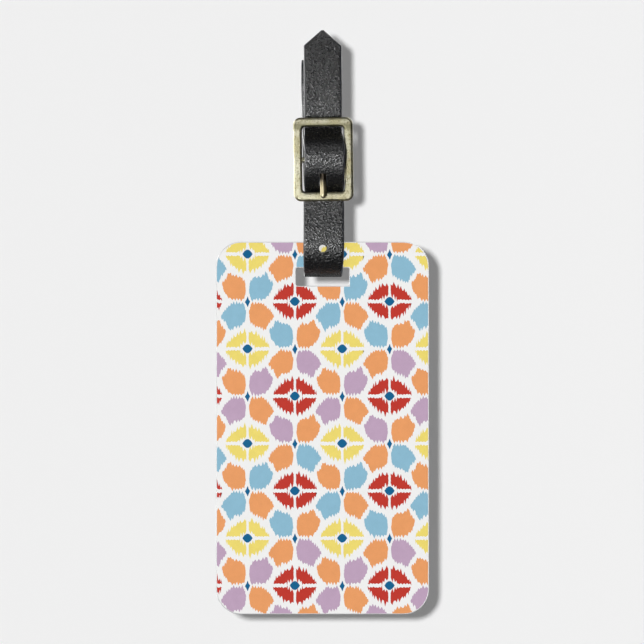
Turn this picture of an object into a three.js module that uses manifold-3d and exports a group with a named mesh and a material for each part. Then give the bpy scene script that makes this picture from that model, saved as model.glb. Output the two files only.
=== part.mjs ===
// A luggage tag: a printed acrylic plate on a buckled leather strap. Millimetres, +Z up, the printed front
// towards -Y. Heights are first measured from the plate's bottom edge and depths from the plate's middle. At
// the end everything is moved so that the origin is the top of the strap's loop, where a handle carries it.
import * as THREE from "three";
import { mergeVertices } from "three/addons/utils/BufferGeometryUtils.js";
import Module from "manifold-3d";

const wasm = await Module();
wasm.setup();

// ---- the plate ----
const PLATE_WIDTH = 50.8;
const PLATE_HEIGHT = 88.9;
const PLATE_THICKNESS = 3;
const PLATE_CORNER = 6;
const SLOT_WIDTH = 12.7;
const SLOT_HEIGHT = 4.3;
const SLOT_CORNER = 0.35;
const BRIDGE_HEIGHT = 6.2; // from the slot's top wall to the plate's top edge
const FILM_THICKNESS = 0.14;
const FILM_GAP = 0.02;
const SLOT_TOP = PLATE_HEIGHT - BRIDGE_HEIGHT;
const BRIDGE_MIDDLE = PLATE_HEIGHT - BRIDGE_HEIGHT / 2;

// ---- the buckle ----
const FRAME_WIDTH = 14.25;
const FRAME_HEIGHT = 20;
const FRAME_THICKNESS = 1.7;
const FRAME_CORNER = 1.75;
const END_BAR = 2.2; // height of the top and bottom bars
const RAIL = 2.1; // width of the side rails
const WINDOW_CORNER = 0.8;
const EDGE_ROUND = 0.7;
const FRAME_BOTTOM = 98.6;
const FRAME_SHIFT = 0.2; // the frame sits a little to one side of the plate's centre line
const FRAME_TILT = THREE.MathUtils.degToRad(-0.7);
const BAR_RADIUS = 0.75;
const SPIGOT_RADIUS = 0.45; // the centre bar's turned-down ends, inside the rails
const SPIGOT_CLEARANCE = 0.02;
const SPIGOT_DEPTH = 1.3;
const BUCKLE_DEPTH = -6; // the frame's middle, in front of the plate's middle
const BAR_HEIGHT = FRAME_BOTTOM + FRAME_HEIGHT / 2 - 0.1;
const WINDOW_WIDTH = FRAME_WIDTH - 2 * RAIL;

// ---- the strap ----
const LEATHER = 1.2;
const SKIVED = 0.8; // the fixed end is pared thinner, so that it folds round the centre bar
const STRAP_WIDTH = 9.1;
const LAYER_GAP = 0.2;
const EYE_RADIUS = 4.675; // leather's middle, around the plate's bridge
const FOLD_DEPTH = 5; // the fold's front half is a little deeper, and reaches up to FOLD_TOP
const FOLD_TOP = 89;
const LOOP_TOP = 132.3;
const LOOP_DEPTH = 9.15; // between the middles of the loop's two legs
const LOOP_SHIFT = -0.6; // sideways: the loop leans a little to the left of the plate's centre line
const NECK_SHIFT = -0.3; // where the loop comes out behind the buckle's top bar
const REAR_SHIFT = 0.5; // where the rear leg reaches the slot
const EYE_SHIFT = 0.14; // under the plate's bridge
const LEG_SHIFT = 0.3; // the front leg, from the slot up to the buckle
const CREST_SHIFT = 0.55; // over the centre bar
const CREST_RISE = 1.2; // the bend's foremost point is this far above the bar
const TAIL_SHIFT = 0.1; // behind the buckle's top bar
const SHORT_END_TOP = 125.5;
const LEG_SPREAD = 0.7; // the front leg is this much wider, pressed flat between the slot and the buckle
const FRAME_SPREAD = 0.3; // and this much where it comes up through the frame
const CREST_SPREAD = 0.65; // and this much where it bends over the centre bar
const TIP_APEX = 139.4;
const TIP_SHOULDER = 135.7;
const TIP_HALF_WIDTH = 0.3;
const SEAM = 119.1; // between the held strap and its free end, just above the frame
const SEAM_GAP = 0.3;
const HOLE_RADIUS = 0.95;
const HOLE_SPACING = 17;
const HOLE_SHIFT = -0.25; // the holes run a little to the left of the leather's middle
const BAR_TO_HOLE = 5.5; // along the leather, from the centre bar to the hole that the prong is in
const PRONG_HOLE_WIDTH = 2;

// ---- the prong ----
const PRONG_WIDTH = 1.55;
const PRONG_THICKNESS = 1;
const PRONG_TIP = 99.3;
const PRONG_POINT = 0.75; // length of its rounded end
const PRONG_RUNNING_GAP = 0.08;
const PRONG_LIFT = THREE.MathUtils.degToRad(6); // as far as the hole in the strap lets it rise
const PRONG_SHIFT = 0.1;

// ---- the sewing ----
const THREAD = 0.4;
const THREAD_CHANNEL = 0.48; // the thread pulls a channel of this size into the leather
const THREAD_SUNK = 0.1;
const STITCH_LENGTH = 2;
const STITCH_PITCH = 2.6;
const SEAM_INSET = 1.2; // from the leather's edge
const STITCHES_PER_SIDE = 3;
const FIRST_STITCH = 118.2;

// Depths of the strap's layers, worked out from the buckle outwards.
const BEHIND_BARS = BUCKLE_DEPTH + FRAME_THICKNESS / 2 + LAYER_GAP + LEATHER / 2;
const WRAP_RADIUS = BAR_RADIUS + 0.15 + SKIVED / 2;
const PRONG_RING = BAR_RADIUS + PRONG_RUNNING_GAP + PRONG_THICKNESS / 2;
const CREST = BUCKLE_DEPTH - PRONG_RING - PRONG_THICKNESS / 2 - 0.12 - LEATHER / 2;
const LOOP_FRONT = BEHIND_BARS + LEATHER + LAYER_GAP;
const LOOP_MIDDLE = LOOP_FRONT + LOOP_DEPTH / 2;
const LOOP_REAR = LOOP_FRONT + LOOP_DEPTH;
const LOOP_CENTRE = LOOP_TOP - LEATHER / 2 - LOOP_DEPTH / 2;
const SHORT_END = LOOP_FRONT + LEATHER / 2 + 0.15 + SKIVED / 2;
const ORIGIN = new THREE.Vector3(0, LOOP_MIDDLE, LOOP_TOP - LEATHER);

// ---- general shapes ----

// A closed three.js geometry, ready for cutting: positions and shared corners only.
function bare(geometry) {
  const copy = geometry.clone();
  for (const name of Object.keys(copy.attributes)) {
    if (name !== "position") copy.deleteAttribute(name);
  }
  return mergeVertices(copy, 1e-4);
}

function toManifold(geometry) {
  const shared = bare(geometry);
  return new wasm.Manifold(new wasm.Mesh({
    numProp: 3,
    vertProperties: Float32Array.from(shared.attributes.position.array),
    triVerts: Uint32Array.from(shared.index.array),
  }));
}

function fromManifold(solid) {
  const cut = solid.getMesh();
  const geometry = new THREE.BufferGeometry();
  geometry.setAttribute("position", new THREE.BufferAttribute(cut.vertProperties, 3));
  geometry.setIndex(new THREE.BufferAttribute(cut.triVerts, 1));
  return geometry;
}

function subtract(geometry, cutters) {
  const rest = cutters.reduce((solid, cutter) => solid.subtract(toManifold(cutter)), toManifold(geometry));
  return fromManifold(rest);
}

// A rectangle with rounded corners, centred on (x, y).
function roundedRectangle(Kind, x, y, width, height, radius) {
  const [left, right, low, high] = [x - width / 2, x + width / 2, y - height / 2, y + height / 2];
  const outline = new Kind();
  outline.moveTo(left + radius, low);
  outline.lineTo(right - radius, low);
  outline.absarc(right - radius, low + radius, radius, -Math.PI / 2, 0);
  outline.lineTo(right, high - radius);
  outline.absarc(right - radius, high - radius, radius, 0, Math.PI / 2);
  outline.lineTo(left + radius, high);
  outline.absarc(left + radius, high - radius, radius, Math.PI / 2, Math.PI);
  outline.lineTo(left, low + radius);
  outline.absarc(left + radius, low + radius, radius, Math.PI, 1.5 * Math.PI);
  return outline;
}

// Extrudes an upright outline, drawn in X and Z, through the depth from near to far with rounded edges.
function upright(shape, near, far, round) {
  const geometry = new THREE.ExtrudeGeometry(shape, {
    depth: far - near - 2 * round,
    curveSegments: 10,
    bevelEnabled: round > 0,
    bevelSize: round,
    bevelOffset: -round,
    bevelThickness: round,
    bevelSegments: 4,
  });
  return geometry.rotateX(Math.PI / 2).translate(0, far - round, 0);
}

// Sweeps a closed outline along stations. Each station has a middle, the two directions that the outline's
// two coordinates follow, and half sizes along them.
function sweep(stations, outline, ring = false) {
  const positions = [];
  for (const { middle, across, through, halfAcross, halfThrough } of stations) {
    for (const [u, v] of outline) {
      const point = middle.clone();
      point.addScaledVector(across, u * halfAcross).addScaledVector(through, v * halfThrough);
      positions.push(point.x, point.y, point.z);
    }
  }
  const count = outline.length;
  const faces = [];
  const last = ring ? stations.length : stations.length - 1;
  for (let i = 0; i < last; i += 1) {
    const here = i * count;
    const next = ((i + 1) % stations.length) * count;
    for (let j = 0; j < count; j += 1) {
      const k = (j + 1) % count;
      faces.push(here + j, here + k, next + k, here + j, next + k, next + j);
    }
  }
  if (!ring) {
    const end = (stations.length - 1) * count;
    for (let j = 1; j < count - 1; j += 1) {
      faces.push(0, j + 1, j, end, end + j, end + j + 1);
    }
  }
  const geometry = new THREE.BufferGeometry();
  geometry.setAttribute("position", new THREE.Float32BufferAttribute(positions, 3));
  geometry.setIndex(faces);
  return signedVolume(geometry) < 0 ? flipped(geometry) : geometry;
}

function signedVolume(geometry) {
  const [a, b, c] = [new THREE.Vector3(), new THREE.Vector3(), new THREE.Vector3()];
  const { index, attributes } = geometry;
  let total = 0;
  for (let i = 0; i < index.count; i += 3) {
    a.fromBufferAttribute(attributes.position, index.getX(i));
    b.fromBufferAttribute(attributes.position, index.getX(i + 1));
    c.fromBufferAttribute(attributes.position, index.getX(i + 2));
    total += a.dot(b.cross(c)) / 6;
  }
  return total;
}

function flipped(geometry) {
  const { index } = geometry;
  for (let i = 0; i < index.count; i += 3) {
    const kept = index.getX(i);
    index.setX(i, index.getX(i + 1));
    index.setX(i + 1, kept);
  }
  return geometry;
}

// An ellipse-like outline with the given number of corners, for wire and thread.
function roundOutline(corners) {
  return Array.from({ length: corners }, (_, i) => {
    const turn = (2 * Math.PI * i) / corners;
    return [Math.cos(turn), Math.sin(turn)];
  });
}

// A cut leather edge: a flat band with slightly rounded corners.
const LEATHER_OUTLINE = [
  [-1, -0.5], [-0.97, -0.9], [-0.93, -1], [0.93, -1], [0.97, -0.9], [1, -0.5],
  [1, 0.5], [0.97, 0.9], [0.93, 1], [-0.93, 1], [-0.97, 0.9], [-1, 0.5],
];

// ---- routes in the side view: lists of [depth, height] points ----

function line(from, to, steps = 1) {
  return Array.from({ length: steps + 1 }, (_, i) => {
    const t = i / steps;
    return [from[0] + (to[0] - from[0]) * t, from[1] + (to[1] - from[1]) * t];
  });
}

// Part of a circle, or of an ellipse when its half height is not its half depth.
function arc(centre, halfDepth, fromDegrees, toDegrees, steps, halfHeight = halfDepth) {
  return Array.from({ length: steps + 1 }, (_, i) => {
    const turn = THREE.MathUtils.degToRad(fromDegrees + ((toDegrees - fromDegrees) * i) / steps);
    return [centre[0] + halfDepth * Math.cos(turn), centre[1] + halfHeight * Math.sin(turn)];
  });
}

// A bend that leaves one point and reaches another upright. A reach below 0 starts downwards.
function bend(from, to, reachFrom, reachTo, steps) {
  const curve = new THREE.CubicBezierCurve(
    new THREE.Vector2(...from),
    new THREE.Vector2(from[0], from[1] + reachFrom),
    new THREE.Vector2(to[0], to[1] - reachTo),
    new THREE.Vector2(...to),
  );
  return curve.getPoints(steps).map((point) => [point.x, point.y]);
}

// Each point's direction along a route, as a unit [depth, height].
function directions(route) {
  return route.map((_, i) => {
    const before = route[Math.max(i - 1, 0)];
    const after = route[Math.min(i + 1, route.length - 1)];
    const length = Math.hypot(after[0] - before[0], after[1] - before[1]);
    return [(after[0] - before[0]) / length, (after[1] - before[1]) / length];
  });
}

// A route beside another one, at distances that go evenly from near to far.
function beside(route, near, far) {
  const along = directions(route);
  return route.map(([depth, height], i) => {
    const distance = near + ((far - near) * i) / (route.length - 1);
    return [depth + distance * along[i][1], height - distance * along[i][0]];
  });
}

const smooth = (t) => t * t * (3 - 2 * t);
const evenly = (t) => t;
const mix = (from, to, t) => from + (to - from) * t;

// One stretch of the strap: its route, and how its sideways shift, thickness and spread change along it.
function stretch(route, { shift, thickness = [LEATHER, LEATHER], spread = [0, 0], ease = smooth }) {
  const along = directions(route);
  return route.map((point, i) => {
    const t = ease(i / (route.length - 1));
    return {
      middle: new THREE.Vector3(mix(shift[0], shift[1], t), point[0], point[1]),
      across: new THREE.Vector3(1, 0, 0),
      through: new THREE.Vector3(0, -along[i][1], along[i][0]),
      halfAcross: (STRAP_WIDTH + mix(spread[0], spread[1], t)) / 2,
      halfThrough: mix(thickness[0], thickness[1], t) / 2,
    };
  });
}

// Joins stretches end to end, leaving out each one's first station, which repeats the last of the one before.
function joined(stretches) {
  return stretches.flatMap((stations, i) => (i === 0 ? stations : stations.slice(1)));
}

// ---- the plate and its printed faces ----

function plateOutline() {
  const height = PLATE_HEIGHT / 2;
  const outline = roundedRectangle(THREE.Shape, 0, height, PLATE_WIDTH, PLATE_HEIGHT, PLATE_CORNER);
  const slotMiddle = SLOT_TOP - SLOT_HEIGHT / 2;
  outline.holes.push(roundedRectangle(THREE.Path, 0, slotMiddle, SLOT_WIDTH, SLOT_HEIGHT, SLOT_CORNER));
  return outline;
}

const HALF_PLATE = PLATE_THICKNESS / 2;
const HALF_CORE = HALF_PLATE - FILM_THICKNESS - FILM_GAP;

const tagCore = () => upright(plateOutline(), -HALF_CORE, HALF_CORE, 0);
const frontPrint = () => upright(plateOutline(), -HALF_PLATE, -HALF_PLATE + FILM_THICKNESS, 0);
const backPrint = () => upright(plateOutline(), HALF_PLATE - FILM_THICKNESS, HALF_PLATE, 0);

// ---- the buckle ----

// Puts a buckle piece, drawn round the centre bar's middle, at its slightly tilted place on the strap.
function onStrap(geometry, shift = FRAME_SHIFT) {
  return geometry.rotateY(FRAME_TILT).translate(shift, BUCKLE_DEPTH, BAR_HEIGHT);
}

function buckleFrame() {
  const middle = FRAME_BOTTOM + FRAME_HEIGHT / 2 - BAR_HEIGHT;
  const outline = roundedRectangle(THREE.Shape, 0, middle, FRAME_WIDTH, FRAME_HEIGHT, FRAME_CORNER);
  const windowHeight = FRAME_HEIGHT - 2 * END_BAR;
  outline.holes.push(roundedRectangle(THREE.Path, 0, middle, WINDOW_WIDTH, windowHeight, WINDOW_CORNER));
  const blank = upright(outline, -FRAME_THICKNESS / 2, FRAME_THICKNESS / 2, EDGE_ROUND);
  const sockets = new THREE.CylinderGeometry(
    SPIGOT_RADIUS + SPIGOT_CLEARANCE,
    SPIGOT_RADIUS + SPIGOT_CLEARANCE,
    WINDOW_WIDTH + 2 * (SPIGOT_DEPTH + 0.05),
    24,
  ).rotateZ(Math.PI / 2);
  return onStrap(subtract(blank, [sockets]));
}

function centreBar() {
  const half = WINDOW_WIDTH / 2 - 0.05;
  const end = WINDOW_WIDTH / 2 + SPIGOT_DEPTH;
  const profile = [
    [0, -end], [SPIGOT_RADIUS, -end], [SPIGOT_RADIUS, -half], [BAR_RADIUS, -half],
    [BAR_RADIUS, half], [SPIGOT_RADIUS, half], [SPIGOT_RADIUS, end], [0, end],
  ];
  const points = profile.map(([radius, height]) => new THREE.Vector2(radius, height));
  return onStrap(new THREE.LatheGeometry(points, 24).rotateZ(-Math.PI / 2));
}

// The prong is one length of wire: an open ring round the centre bar, then straight down to the bottom bar.
function prong() {
  const neck = [-FRAME_THICKNESS / 2 - 0.08 - PRONG_THICKNESS / 2, PRONG_TIP + PRONG_POINT - BAR_HEIGHT];
  const route = [
    ...arc([0, 0], PRONG_RING, -50, 180, 28),
    ...bend([-PRONG_RING, 0], neck, -2.5, -2.5, 12).slice(1),
  ];
  const along = directions(route);
  const stations = route.map((point, i) => ({
    middle: new THREE.Vector3(0, point[0], point[1]),
    across: new THREE.Vector3(1, 0, 0),
    through: new THREE.Vector3(0, -along[i][1], along[i][0]),
    halfAcross: PRONG_WIDTH / 2,
    halfThrough: PRONG_THICKNESS / 2,
  }));
  const last = stations[stations.length - 1];
  for (let i = 1; i <= 5; i += 1) {
    const turn = THREE.MathUtils.degToRad((84 * i) / 5);
    const middle = last.middle.clone();
    middle.z -= PRONG_POINT * Math.sin(turn);
    const halfAcross = last.halfAcross * Math.cos(turn);
    const halfThrough = last.halfThrough * Math.cos(turn);
    stations.push({ ...last, middle, halfAcross, halfThrough });
  }
  return onStrap(sweep(stations, roundOutline(14)), PRONG_SHIFT);
}

// ---- the strap ----

const OVER_BAR = [CREST, BAR_HEIGHT + CREST_RISE];
const BELOW_BAR = [BEHIND_BARS, 100.6];
const ABOVE_BAR = [BEHIND_BARS, 116.7];
const RISE = bend(BELOW_BAR, OVER_BAR, 1.2, 6.8, 22);
const FALL = bend(OVER_BAR, ABOVE_BAR, 3.6, 2.8, 20);

function strapStations() {
  const wrapShift = 0.35;
  const loop = [LOOP_SHIFT, LOOP_SHIFT];
  const thin = [SKIVED, SKIVED];
  const body = beside(FALL, -CREST + BUCKLE_DEPTH - WRAP_RADIUS, LOOP_FRONT - BEHIND_BARS);
  const shortStart = [SHORT_END, ABOVE_BAR[1]];
  const shortEnd = line([SHORT_END, SHORT_END_TOP], shortStart, 3);
  const shortBend = bend(shortStart, [BUCKLE_DEPTH + WRAP_RADIUS, BAR_HEIGHT], -4, -2.6, 14);
  const wrap = arc([BUCKLE_DEPTH, BAR_HEIGHT], WRAP_RADIUS, 0, -180, 20);
  const neck = line([LOOP_FRONT, ABOVE_BAR[1]], [LOOP_FRONT, LOOP_CENTRE], 4);
  const top = arc([LOOP_MIDDLE, LOOP_CENTRE], LOOP_DEPTH / 2, 180, 0, 22);
  const rear = bend([LOOP_REAR, LOOP_CENTRE], [EYE_RADIUS, BRIDGE_MIDDLE], -22, -12, 18);
  const eyeRear = arc([0, BRIDGE_MIDDLE], EYE_RADIUS, 0, -90, 13);
  const foldHeight = FOLD_TOP - BRIDGE_MIDDLE + EYE_RADIUS;
  const eyeFront = arc([0, FOLD_TOP], FOLD_DEPTH, -90, -180, 18, foldHeight);
  const leg = bend([-FOLD_DEPTH, FOLD_TOP], BELOW_BAR, 4, 4, 12);
  const legs = [LEG_SHIFT, LEG_SHIFT];
  const aboveBar = line(ABOVE_BAR, [BEHIND_BARS, SEAM - SEAM_GAP / 2]);
  return joined([
    stretch(shortEnd, { shift: [LOOP_SHIFT, NECK_SHIFT], thickness: thin }),
    stretch(shortBend, { shift: [NECK_SHIFT, wrapShift], thickness: thin }),
    stretch(wrap, { shift: [wrapShift, wrapShift], thickness: thin }),
    stretch(body, { shift: [wrapShift, NECK_SHIFT], thickness: [SKIVED, LEATHER] }),
    stretch(neck, { shift: [NECK_SHIFT, LOOP_SHIFT] }),
    stretch(top, { shift: loop }),
    stretch(rear, { shift: [LOOP_SHIFT, REAR_SHIFT], ease: evenly }),
    stretch(eyeRear, { shift: [REAR_SHIFT, EYE_SHIFT] }),
    stretch(eyeFront, { shift: [EYE_SHIFT, LEG_SHIFT], spread: [0, LEG_SPREAD] }),
    stretch(leg.slice(0, 10), { shift: legs, spread: [LEG_SPREAD, LEG_SPREAD] }),
    stretch(leg.slice(9), { shift: legs, spread: [LEG_SPREAD, FRAME_SPREAD] }),
    stretch(RISE, { shift: [LEG_SHIFT, CREST_SHIFT], spread: [FRAME_SPREAD, CREST_SPREAD] }),
    stretch(FALL, { shift: [CREST_SHIFT, TAIL_SHIFT], spread: [CREST_SPREAD, 0] }),
    stretch(aboveBar, { shift: [TAIL_SHIFT, TAIL_SHIFT] }),
  ]);
}

// A round punch through the leather at a station, long enough to pass through one layer only.
function punch(station) {
  const geometry = new THREE.CylinderGeometry(HOLE_RADIUS, HOLE_RADIUS, LEATHER + 0.3, 24);
  const along = new THREE.Vector3().crossVectors(station.across, station.through);
  const turn = new THREE.Matrix4().makeBasis(station.across, station.through, along);
  return geometry.applyMatrix4(turn).translate(HOLE_SHIFT, 0, 0).translate(...station.middle.toArray());
}

// The way cut through the leather for the prong, which passes almost straight down through the sloping
// strap and swings forwards a little.
function prongWay() {
  const front = BUCKLE_DEPTH - PRONG_RING - PRONG_THICKNESS / 2 - 0.18;
  const back = BUCKLE_DEPTH - PRONG_RING + PRONG_THICKNESS / 2 + 0.25;
  const [top, bottom] = [BAR_HEIGHT + 0.4, FRAME_BOTTOM + 3];
  const swing = (BAR_HEIGHT - bottom) * Math.tan(PRONG_LIFT);
  const shape = new THREE.Shape([[front, top], [front - swing, bottom], [back, bottom], [back, top]].map(
    ([depth, height]) => new THREE.Vector2(depth, height),
  ));
  const geometry = new THREE.ExtrudeGeometry(shape, { depth: PRONG_HOLE_WIDTH, bevelEnabled: false });
  const turn = new THREE.Matrix4().makeBasis(
    new THREE.Vector3(0, 1, 0),
    new THREE.Vector3(0, 0, 1),
    new THREE.Vector3(1, 0, 0),
  );
  return geometry.applyMatrix4(turn).translate(PRONG_SHIFT - PRONG_HOLE_WIDTH / 2, 0, 0);
}

// The station at a given distance along the strap from the given one, counted towards the fixed end.
function stationBack(stations, start, distance) {
  let left = distance;
  let i = start;
  while (i > 0 && left > 0) {
    const step = stations[i].middle.distanceTo(stations[i - 1].middle);
    if (step > left) {
      const t = left / step;
      return { ...stations[i], middle: stations[i].middle.clone().lerp(stations[i - 1].middle, t) };
    }
    left -= step;
    i -= 1;
  }
  return stations[i];
}

// Where the stitches are: a row up each side of the folded end, and two across its top.
function stitchPlaces() {
  const middle = (LOOP_SHIFT + NECK_SHIFT) / 2;
  const side = STRAP_WIDTH / 2 - SEAM_INSET;
  const places = [];
  for (const [name, x] of [["left", middle - side], ["right", middle + side]]) {
    for (let i = 0; i < STITCHES_PER_SIDE; i += 1) {
      const height = FIRST_STITCH + i * STITCH_PITCH;
      places.push({ name: `stitch_${name}_${i + 1}`, x, height, isUpright: true });
    }
  }
  for (const [number, offset] of [[1, -STITCH_PITCH / 2], [2, STITCH_PITCH / 2]]) {
    const height = SHORT_END_TOP - SEAM_INSET;
    places.push({ name: `stitch_top_${number}`, x: middle + offset, height, isUpright: false });
  }
  return places;
}

function strap() {
  const stations = strapStations();
  const overBar = stations.length - 1 - FALL.length;
  const cutters = [prongWay()];
  for (const number of [1, 2]) {
    const distance = CREST_RISE + BAR_TO_HOLE + number * HOLE_SPACING;
    cutters.push(punch(stationBack(stations, overBar, distance)));
  }
  const foldSlot = new THREE.CylinderGeometry(1.93, 1.93, PRONG_HOLE_WIDTH, 28).rotateZ(Math.PI / 2);
  cutters.push(foldSlot.translate(PRONG_SHIFT, BUCKLE_DEPTH, BAR_HEIGHT));
  for (const place of stitchPlaces()) cutters.push(stitch(place, THREAD_CHANNEL));
  return subtract(sweep(stations, LEATHER_OUTLINE), cutters);
}

function strapTail() {
  const start = [BEHIND_BARS, SEAM + SEAM_GAP / 2];
  const route = bend(start, [BEHIND_BARS + 1, TIP_APEX], 12, 5, 14);
  const stations = stretch(route, { shift: [TAIL_SHIFT, 0] });
  for (const station of stations) {
    const left = (TIP_APEX - station.middle.z) / (TIP_APEX - TIP_SHOULDER);
    if (left < 1) station.halfAcross = mix(TIP_HALF_WIDTH, STRAP_WIDTH / 2, left);
  }
  return sweep(stations, LEATHER_OUTLINE);
}

// ---- the stitches ----

// One stitch: a closed loop of thread through both layers of the folded end, seen as a short dash on each.
function stitch({ x, height, isUpright }, thread) {
  const front = LOOP_FRONT - LEATHER / 2 + THREAD_SUNK;
  const back = SHORT_END + SKIVED / 2 - THREAD_SUNK / 2;
  const corner = 0.3;
  const halfLength = STITCH_LENGTH / 2;
  const halfDepth = (back - front) / 2;
  const stations = [];
  for (const [u, v, from] of [[1, 1, 0], [-1, 1, 90], [-1, -1, 180], [1, -1, 270]]) {
    for (let i = 0; i <= 3; i += 1) {
      const turn = THREE.MathUtils.degToRad(from + 30 * i);
      const [c, s] = [Math.cos(turn), Math.sin(turn)];
      const alongStitch = u * (halfLength - corner) + corner * c;
      const depth = v * (halfDepth - corner) + corner * s;
      stations.push({
        middle: new THREE.Vector3(alongStitch, depth, 0),
        across: new THREE.Vector3(0, 0, 1),
        through: new THREE.Vector3(c, s, 0),
        halfAcross: thread / 2,
        halfThrough: thread / 2,
      });
    }
  }
  const geometry = sweep(stations, roundOutline(8), true);
  if (isUpright) geometry.rotateY(Math.PI / 2);
  return geometry.translate(x, (front + back) / 2, height);
}

// ---- the whole tag ----

function piece(name, geometry, colour, roughness, metalness) {
  const material = new THREE.MeshStandardMaterial({ color: colour, roughness, metalness });
  const mesh = new THREE.Mesh(geometry, material);
  mesh.name = name;
  mesh.position.copy(ORIGIN).negate();
  return mesh;
}

const tag = new THREE.Group();
tag.name = "luggage_tag";
tag.add(
  piece("tag_core", tagCore(), "#f2f2f0", 0.15, 0),
  piece("front_print", frontPrint(), "#e9b58c", 0.2, 0),
  piece("back_print", backPrint(), "#ece7e0", 0.2, 0),
);

const buckle = new THREE.Group();
buckle.name = "buckle";
buckle.add(
  piece("buckle_frame", buckleFrame(), "#8f8a63", 0.35, 1),
  piece("centre_bar", centreBar(), "#8f8a63", 0.35, 1),
  piece("prong", prong(), "#b09a5c", 0.3, 1),
);

const strapGroup = new THREE.Group();
strapGroup.name = "strap_and_sewing";
strapGroup.add(
  piece("strap", strap(), "#2b2b2d", 0.6, 0),
  piece("strap_tail", strapTail(), "#2b2b2d", 0.6, 0),
);

for (const place of stitchPlaces()) {
  strapGroup.add(piece(place.name, stitch(place, THREAD), "#1d1d1f", 0.8, 0));
}

const whole = new THREE.Group();
whole.name = "whole_tag";
whole.add(tag, strapGroup, buckle);

export default whole;
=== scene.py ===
"""The looks of a luggage tag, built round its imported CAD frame.

The tag is a printed acrylic plate on a buckled leather strap. Sizes are in millimetres in the plate's own
frame, with heights from its bottom edge and depths from its middle. place() and to_row_frame() turn them into
the row frame's metres.
"""

import math
import random

import bmesh
import bpy
from mathutils import Matrix, Vector
from mathutils.geometry import tessellate_polygon


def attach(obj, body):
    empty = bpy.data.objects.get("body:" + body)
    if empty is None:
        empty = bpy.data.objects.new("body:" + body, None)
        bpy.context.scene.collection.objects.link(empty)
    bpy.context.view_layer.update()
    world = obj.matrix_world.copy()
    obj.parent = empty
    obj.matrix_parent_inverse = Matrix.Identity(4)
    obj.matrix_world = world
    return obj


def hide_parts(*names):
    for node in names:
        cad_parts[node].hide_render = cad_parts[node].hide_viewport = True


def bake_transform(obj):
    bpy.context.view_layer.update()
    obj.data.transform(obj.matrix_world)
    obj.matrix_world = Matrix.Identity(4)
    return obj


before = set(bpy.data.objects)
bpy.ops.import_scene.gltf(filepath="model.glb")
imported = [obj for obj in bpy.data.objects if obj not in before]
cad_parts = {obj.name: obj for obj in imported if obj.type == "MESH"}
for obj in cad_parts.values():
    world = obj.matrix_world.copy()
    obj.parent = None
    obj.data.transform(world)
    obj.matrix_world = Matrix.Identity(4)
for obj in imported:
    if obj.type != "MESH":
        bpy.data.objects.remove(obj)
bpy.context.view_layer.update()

MM = 0.001

# ---- the plate ----
PLATE_WIDTH = 50.8
PLATE_HEIGHT = 88.9
PLATE_THICKNESS = 3
PLATE_CORNER = 6
PLATE_EDGE_ROUND = 0.28
CORE_INSET = 0.01  # the acrylic's faces lie this far under the printed ones
SLOT_WIDTH = 12.7
SLOT_HEIGHT = 4.3
SLOT_CORNER = 0.35
BRIDGE_HEIGHT = 6.2  # from the slot's top wall to the plate's top edge
SLOT_TOP = PLATE_HEIGHT - BRIDGE_HEIGHT
SLOT_MIDDLE = SLOT_TOP - SLOT_HEIGHT / 2
BRIDGE_MIDDLE = PLATE_HEIGHT - BRIDGE_HEIGHT / 2
PRINT_INSET = 0.2
FILM_THICKNESS = 0.06
FILM_EDGE_ROUND = 0.01
INK_LIFT = 0.008  # the inks stand this far off their white film

# ---- the buckle ----
FRAME_WIDTH = 14.25
FRAME_HEIGHT = 20
FRAME_THICKNESS = 1.7
FRAME_CORNER = 1.75
END_BAR = 2.2  # height of the top and bottom bars
RAIL = 2.1  # width of the side rails
WINDOW_CORNER = 0.9
FRAME_ROUND = 0.62
FRAME_BOTTOM = 98.6
FRAME_SHIFT = 0.2  # sideways, from the plate's centre line
FRAME_TILT = math.radians(-0.7)
BAR_RADIUS = 0.75
BUCKLE_DEPTH = -6  # the frame's middle, in front of the plate's middle
BAR_HEIGHT = FRAME_BOTTOM + FRAME_HEIGHT / 2 - 0.1

# ---- the strap: shifts are sideways, and spreads add to its width ----
LEATHER = 1.2
SKIVED = 0.8  # the fixed end is pared thinner, so that it folds round the centre bar
STRAP_WIDTH = 9.1
LAYER_GAP = 0.2
WRAP_GAP = 0.15  # between the centre bar and the leather folded round it, and between the sewn layers
CREST_GAP = 0.12  # between the prong's ring and the leather bent over it
EYE_RADIUS = 4.675  # leather's middle, around the plate's bridge
FOLD_DEPTH = 5  # the fold's front half is a little deeper, and reaches up to FOLD_TOP
FOLD_TOP = 89
LOOP_TOP = 132.3
LOOP_DEPTH = 9.15  # between the middles of the loop's two legs
LOOP_SHIFT = -0.6
NECK_SHIFT = -0.3  # where the loop comes out behind the buckle's top bar
WRAP_SHIFT = 0.35  # round the centre bar
REAR_SHIFT = 0.5  # where the rear leg reaches the slot
EYE_SHIFT = 0.14  # under the plate's bridge
LEG_SHIFT = 0.3  # the front leg, from the slot up to the buckle
CREST_SHIFT = 0.55  # over the centre bar
CREST_RISE = 1.2  # the bend's foremost point is this far above the bar
TAIL_SHIFT = 0.1  # behind the buckle's top bar
LEG_TOP = 100.6  # where the leather leaves the bottom bar, upwards
TAIL_BOTTOM = 116.7  # where it reaches the top bar
SHORT_END_TOP = 125.5
LEG_SPREAD = 0.7
FRAME_SPREAD = 0.3
CREST_SPREAD = 0.65
HIDDEN_SEAM = 117.5  # the strap and its free end meet here, behind the top bar
FREE_END_BEND = 119.25  # above this the free end leans forwards
FREE_END_LEAN = 1
TIP_APEX = 139.4
TIP_SHOULDER = 135.7
TIP_HALF_WIDTH = 0.3
HOLE_RADIUS = 0.95
HOLE_SPACING = 17
HOLE_SHIFT = -0.25
BAR_TO_HOLE = 5.5  # along the leather, from the centre bar to the hole that the prong is in
PRONG_HOLE_WIDTH = 2
FOLD_SLOT_RADIUS = 1.93  # the slot for the prong in the fixed end's fold, round the bar's middle
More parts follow.
